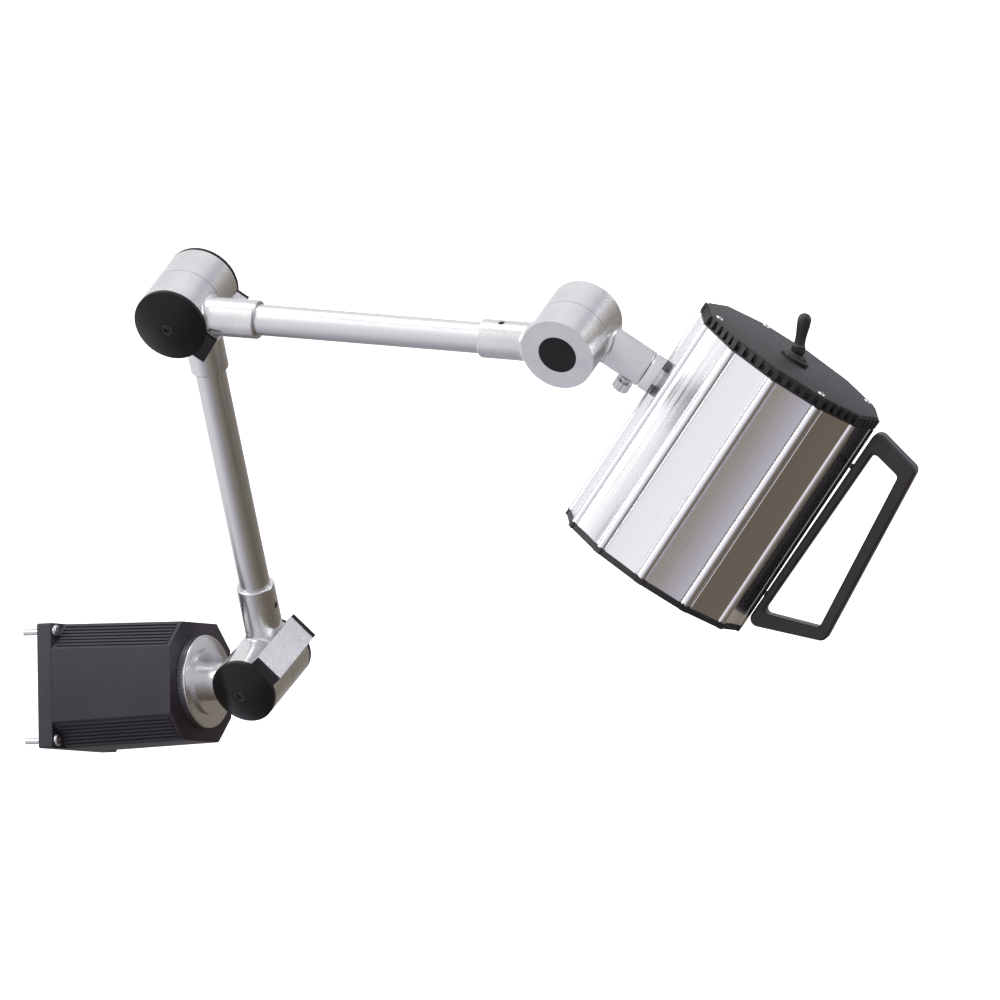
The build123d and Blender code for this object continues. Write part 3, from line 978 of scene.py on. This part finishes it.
# ------------------------------------------------------------------ head
@dataclass
class Head:
    """The fluted head, its black ends and what they hold."""

    radius: float = 64.6 * MM
    rib: float = 3.3 * MM
    face_radius: float = 63.4 * MM
    groove: float = 0.9 * MM
    groove_width: float = 0.9 * MM
    hollow: float = 0.5 * MM
    wall: float = 2.6 * MM
    low: float = -75 * MM
    high: float = 71 * MM
    end: float = 79 * MM
    teeth_per_side: int = 5
    collar_radius: float = 12 * MM
    collar_start: float = 50.3 * MM
    collar_end: float = 57.2 * MM
    spindle: float = 6 * MM
    spindle_back: float = 22 * MM
    spindle_past: float = 6 * MM
    screw_in: float = 7 * MM
    screw_head: float = 2.7 * MM
    screw_shank: float = 1.6 * MM
    screw_top: float = 0.9 * MM
    edge: float = 1.2 * MM
    cap_step: float = 1.6 * MM
    cap_thick: float = 4.2 * MM
    tooth: tuple[float, float, float] = (3.2 * MM, 3.0 * MM, 5.6 * MM)
    boss: tuple[float, float, float] = (5.0 * MM, 3.0 * MM, 4.4 * MM)

    def profile(self) -> list[tuple[float, float]]:
        """List the extrusion's outline: ribs, grooves and hollow faces."""
        half_turn = math.pi / SIDES
        apothem = self.face_radius * math.cos(half_turn)
        centre = self.radius - self.rib
        offset = centre * math.cos(half_turn) - apothem
        reach = math.degrees(math.acos((-self.groove - offset) / self.rib))
        side_end = centre * math.sin(half_turn) - self.rib * math.sin(math.radians(reach))
        points = []
        for k in range(SIDES):
            corner = math.degrees(2 * half_turn) * k
            angle = math.radians(corner)
            middle = (centre * math.cos(angle), centre * math.sin(angle))
            spread = math.degrees(half_turn) + reach
            points += arc(middle, self.rib, corner - spread, corner + spread, 14)
            normal = angle + half_turn
            flat = side_end - self.groove_width
            edge = 0.25 * MM
            side = [(-flat - edge, -self.groove), (-flat, -edge), (-flat + edge, 0.0)]
            side += [(flat * t, self.hollow * (t * t - 1)) for t in (-0.75, -0.45, -0.15, 0.15, 0.45, 0.75)]
            side += [(flat - edge, 0.0), (flat, -edge), (flat + edge, -self.groove)]
            for along, out in side:
                r = apothem + out
                points.append((r * math.cos(normal) - along * math.sin(normal),
                               r * math.sin(normal) + along * math.cos(normal)))
        return points

    def shell(self) -> bpy.types.Object:
        """Build the extruded shell as a closed tube."""
        outer = self.profile()
        inner_apothem = self.face_radius * math.cos(math.pi / SIDES) - self.wall
        inner = []
        for x, y in outer:
            angle = math.atan2(y, x)
            off = (angle + math.pi / SIDES) % (2 * math.pi / SIDES) - math.pi / SIDES
            r = inner_apothem / math.cos(math.pi / SIDES - abs(off))
            inner.append((r * math.cos(angle), r * math.sin(angle)))
        bm = bmesh.new()
        walls = ((outer, self.low), (outer, self.high), (inner, self.high), (inner, self.low),
                 (outer, self.low))
        rings = [[(x, y, z) for x, y in ring] for ring, z in walls]
        loft(bm, rings, False)
        return from_bmesh("fluted_shell", bm, PLACES.head(), 40)

    def collar(self) -> bpy.types.Object:
        """Build the round collar and spindle between the neck and the shell."""
        bm = bmesh.new()
        near, far, round_off = self.collar_start, self.collar_end, 0.8 * MM
        back, past = near - self.spindle_back, far + self.spindle_past
        outline = [(0, back), (self.spindle, back), (self.spindle, near)]
        outline += arc((self.collar_radius - round_off, near + round_off), round_off, -90, 0, 4)
        outline += [(self.collar_radius, far), (self.spindle, far), (self.spindle, past), (0, past)]
        lathe(bm, outline, 56)
        return from_bmesh("swivel_collar", bm, PLACES.swivel())

    def cap_screw_heads(self) -> bpy.types.Object:
        """Build the domed screws at four corners of the cap."""
        made = []
        for k in range(1, SIDES, 3):
            bm = bmesh.new()
            top, seat = self.end + self.screw_top, self.end - 1.0 * MM
            floor = top - 0.8 * MM
            outline = [(0, self.high), (self.screw_shank, self.high), (self.screw_shank, seat)]
            outline += [(self.screw_head, seat), (self.screw_head, self.end + 0.1 * MM)]
            outline += [(2.2 * MM, top - 0.2 * MM), (1.2 * MM, top), (1.1 * MM, floor), (0, floor)]
            lathe(bm, outline, 28)
            turn = Matrix.Rotation(2 * math.pi * k / SIDES, 4, "Z")
            place = PLACES.head() @ turn @ Matrix.Translation((self.radius - self.screw_in, 0, 0))
            made.append(from_bmesh(f"cap_screw_{k}", bm, place))
        return joined(made, "cap_screw_heads")

    def polygon(self, radius: float, z: float) -> list[tuple[float, float, float]]:
        """List the corners of the twelve-sided outline at a height.

        Args:
            radius: Distance of the corners from the axis.
            z: The height.

        Returns:
            The corners.
        """
        return [(radius * math.cos(2 * math.pi * i / SIDES), radius * math.sin(2 * math.pi * i / SIDES), z)
                for i in range(SIDES)]

    def ring(self, name: str, outer: float, inner: float, low: float, high: float,
             edge: float) -> bpy.types.Object:
        """Build a twelve-sided ring or plate with rounded edges.

        Args:
            name: The object's name.
            outer: Outer radius to the corners.
            inner: Inner radius, 0 for a plate.
            low: Lower height.
            high: Upper height.
            edge: Edge rounding.

        Returns:
            The object.
        """
        bm = bmesh.new()
        rings = [self.polygon(outer, low), self.polygon(outer, high)]
        if inner:
            rings += [self.polygon(inner, high), self.polygon(inner, low), self.polygon(outer, low)]
        loft(bm, rings, not inner)
        return bevelled(from_bmesh(name, bm, PLACES.head(), 25), edge, 3, 20)

    def cap(self, f: Finishes) -> bpy.types.Object:
        """Build the cap plate with its toothed vent rim.

        Args:
            f: The light's finishes.

        Returns:
            The cap.
        """
        step = self.radius - self.cap_step
        plate = self.ring("cap_top", step, 0, self.end - self.cap_thick, self.end, self.edge)
        rim = self.ring("cap_rim", self.radius - 3.2 * MM, self.radius - 9 * MM,
                        self.high, self.end - 3 * MM, 0.3 * MM)
        foot = self.ring("cap_foot", self.radius - 0.4 * MM, self.radius - 8 * MM,
                         self.high, self.high + 1.3 * MM, 0.3 * MM)
        teeth = blocks_round("cap_teeth", f.cap, PLACES.head(), step, self.teeth_per_side,
                             self.tooth, self.end - 4.0 * MM)
        return joined([plate, rim, foot, teeth], "vented_cap")

    def bezel(self, f: Finishes) -> bpy.types.Object:
        """Build the black bottom frame with a boss at each corner.

        Args:
            f: The light's finishes.

        Returns:
            The frame.
        """
        ring = self.ring("bezel_ring", self.radius - 0.6 * MM, self.radius - 7.5 * MM,
                         -self.end, self.low, 0.7 * MM)
        bosses = blocks_round("bezel_bosses", f.cap, PLACES.head(), self.radius - 1.8 * MM, 1,
                              self.boss, -self.end + 2.3 * MM)
        return joined([ring, bosses], "bottom_frame")

    def build(self, f: Finishes) -> None:
        """Make and dress the head.

        Args:
            f: The light's finishes.
        """
        ride(self.shell(), Body.HEAD, "head_aluminium", f.head, "head_shell")
        ride(self.cap(f), Body.HEAD, "cap_black", f.cap, "cap_plate", "vent_rim")
        ride(self.bezel(f), Body.HEAD, "cap_black", f.cap, "bottom_bezel")
        dress(f.glass, "lens_glass", "lamp")
        dress(f.rubber, "lens_gasket")
        dress(f.mirror, "reflector")
        dress(f.ceramic, "lamp_holder")
        ride(self.collar(), Body.HEAD, "silver_casting", f.casting, "head_mount")
        ride(self.cap_screw_heads(), Body.HEAD, "steel", f.steel, "cap_screws")
        dress(f.steel, "heat_shield", "mount_nut", "bezel_screws")
        dress(f.black_steel, "handle_screws")
        dress(f.handle, "handle", "switch_body")


@dataclass
class Switch:
    """The toggle switch in its rubber boot."""

    skirt: float = 9.5 * MM
    sheath: float = 4.25 * MM
    lift: float = -4 * MM

    def boot(self) -> bpy.types.Object:
        """Build the boot's round skirt with its rings."""
        bm = bmesh.new()
        z = PLACES.toggle_above_centre + self.lift
        outline = [(0, z + 0.1 * MM), (self.skirt, z + 0.1 * MM), (self.skirt, z + 1.6 * MM)]
        outline += arc((self.skirt - 1.2 * MM, z + 1.8 * MM), 1.2 * MM, 0, 90, 5)
        outline += [(7.4 * MM, z + 3.0 * MM), (7.2 * MM, z + 3.6 * MM), (6.9 * MM, z + 3.6 * MM)]
        outline += arc((5.6 * MM, z + 3.8 * MM), 1.0 * MM, 20, 150, 6)
        outline += [(4.3 * MM, z + 3.4 * MM), (0, z + 3.4 * MM)]
        lathe(bm, outline, 48)
        return from_bmesh("boot_skirt", bm, PLACES.head(), 30)

    def cover(self) -> bpy.types.Object:
        """Build the boot's sheath over the lever."""
        bm = bmesh.new()
        outline = [(0, -0.4 * MM), (3.4 * MM, -0.4 * MM), (self.sheath, 1.6 * MM), (self.sheath, 4.0 * MM)]
        outline += arc((self.sheath - 1.0 * MM, 4.8 * MM), 1.0 * MM, -20, 60, 5)
        outline += [(3.5 * MM, 6.8 * MM), (3.3 * MM, 9.0 * MM), (3.5 * MM, 13 * MM), (4.1 * MM, 18 * MM)]
        outline += arc((0, 21.8 * MM), self.sheath, 0, 90, 10)
        lathe(bm, outline, 40)
        return from_bmesh("boot_sheath", bm, PLACES.toggle(), 40)

    def build(self, f: Finishes) -> None:
        """Make and dress the switch.

        Args:
            f: The light's finishes.
        """
        ride(self.boot(), Body.HEAD, "boot_rubber", f.rubber, "switch_boot_base")
        ride(self.cover(), Body.TOGGLE, "boot_rubber", f.rubber, "toggle_sheath")
        dress(f.steel, "toggle_lever")


# ------------------------------------------------------------------ studio
@dataclass
class Studio:
    """Camera, floor, backdrop and lights."""

    azimuth: float = 30.0
    elevation: float = -3.7
    roll: float = 0.95
    distance: float = 12.0
    lens: float = 691.0
    aim: tuple[float, float, float] = (0.238, 0.129, 0.113)
    floor: float = -1.3
    wide: float = 26.0
    tall: float = 34.0
    cove: float = 1.5
    bright_side: tuple[float, float, float] = (-0.65, -0.45, 0.6)
    sky_strength: float = 1.0
    sky: tuple = ((0.0, (0.15, 0.125, 0.095)), (0.26, (0.32, 0.29, 0.25)), (0.40, (0.52, 0.50, 0.58)),
                  (0.60, (0.95, 0.95, 0.99)), (1.0, (1.0, 1.0, 1.0)))

    def camera(self) -> None:
        """Place a long lens on the working side."""
        a, e = math.radians(self.azimuth), math.radians(self.elevation)
        back = Vector((math.sin(a) * math.cos(e), -math.cos(a) * math.cos(e), math.sin(e)))
        right = Vector((0, 0, 1)).cross(back).normalized()
        up = back.cross(right)
        t = math.radians(self.roll)
        right, up = right * math.cos(t) - up * math.sin(t), up * math.cos(t) + right * math.sin(t)
        turn = Matrix((right, up, back)).transposed().to_4x4()
        data = bpy.data.cameras.new("camera")
        data.lens = self.lens
        data.sensor_width = 36.0
        data.clip_end = 100.0
        camera = bpy.data.objects.new("camera", data)
        camera.matrix_world = Matrix.Translation(Vector(self.aim) + back * self.distance) @ turn
        bpy.context.scene.collection.objects.link(camera)
        bpy.context.scene.camera = camera

    def paper(self) -> bpy.types.Material:
        """Make the pale paper of the floor and backdrop."""
        m = Material("studio_paper")
        m.set(Base_Color=(0.95, 0.95, 0.95, 1.0), Roughness=0.9, Specular_IOR_Level=0.1,
              Emission_Color=(1.0, 1.0, 1.0, 1.0), Emission_Strength=0.9)
        return m.material

    def room(self) -> None:
        """Build a floor that curves up into a round backdrop."""
        bm = bmesh.new()
        flat = self.wide - self.cove
        outline = [(0, self.floor), (flat, self.floor)]
        outline += arc((flat, self.floor + self.cove), self.cove, -90, 0, 12)
        outline += [(self.wide, self.tall)]
        lathe(bm, outline, 96)
        lid = [f for f in bm.faces if f.calc_center_median().z > self.tall - SAME_POINT]
        bmesh.ops.delete(bm, geom=lid, context="FACES")
        room = from_bmesh("studio_room", bm, FRAME_SPACE, 60)
        room.data.materials.append(self.paper())
        room.visible_diffuse = False
        room.visible_glossy = False
        room.visible_transmission = False
        room.visible_shadow = False

    def lamp(self, name: str, place: tuple[float, float, float], size: tuple[float, float],
             power: float) -> None:
        """Hang a rectangular soft light aimed at the work light.

        Args:
            name: The light's name.
            place: Its centre.
            size: Width and height.
            power: Watts.
        """
        data = bpy.data.lights.new(name, "AREA")
        data.shape = "RECTANGLE"
        data.size, data.size_y = size
        data.energy = power
        lamp = bpy.data.objects.new(name, data)
        aim = Vector(self.aim) - Vector(place)
        lamp.matrix_world = Matrix.Translation(place) @ aim.to_track_quat("-Z", "Y").to_matrix().to_4x4()
        bpy.context.scene.collection.objects.link(lamp)

    def world(self) -> None:
        """Light the scene softly from one side, falling off to dark on the other."""
        world = bpy.data.worlds.new("studio")
        world.use_nodes = True
        nodes = Nodes(world.node_tree)
        background = world.node_tree.nodes["Background"]
        coords = nodes.add("ShaderNodeTexCoord")
        dot = nodes.add("ShaderNodeVectorMath", operation="DOT_PRODUCT")
        dot.inputs[1].default_value = Vector(self.bright_side).normalized()
        span = nodes.add("ShaderNodeMapRange")
        span.inputs["From Min"].default_value = -1.0
        ramp = nodes.add("ShaderNodeValToRGB")
        ramp.color_ramp.interpolation = "EASE"
        while len(ramp.color_ramp.elements) < len(self.sky):
            ramp.color_ramp.elements.new(0.5)
        for element, (position, colour) in zip(ramp.color_ramp.elements, self.sky):
            element.position = position
            element.color = (*colour, 1.0)
        nodes.join(coords.outputs["Generated"], dot.inputs[0])
        nodes.join(dot.outputs["Value"], span.inputs["Value"])
        nodes.join(span.outputs["Result"], ramp.inputs["Fac"])
        nodes.join(ramp.outputs["Color"], background.inputs["Color"])
        background.inputs["Strength"].default_value = self.sky_strength
        bpy.context.scene.world = world

    def build(self) -> None:
        """Set the scene."""
        self.camera()
        self.room()
        self.world()
        bpy.context.scene.view_settings.view_transform = "Standard"
        self.lamp("key", (-1.2, -1.9, 1.5), (0.9, 1.4), 26)
        self.lamp("top", (0.2, -0.6, 2.4), (1.4, 0.7), 16)
        self.lamp("rim", (2.2, 0.9, 0.9), (0.3, 1.6), 12)


def main() -> None:
    """Build the light's looks and the studio round it."""
    logging.basicConfig(level=logging.INFO, format="%(name)s %(message)s")
    Studio().build()
    finishes = Finishes()
    for part in (Bracket(), Arms(), Head(), Switch()):
        part.build(finishes)


if __name__ == "__main__":
    main()
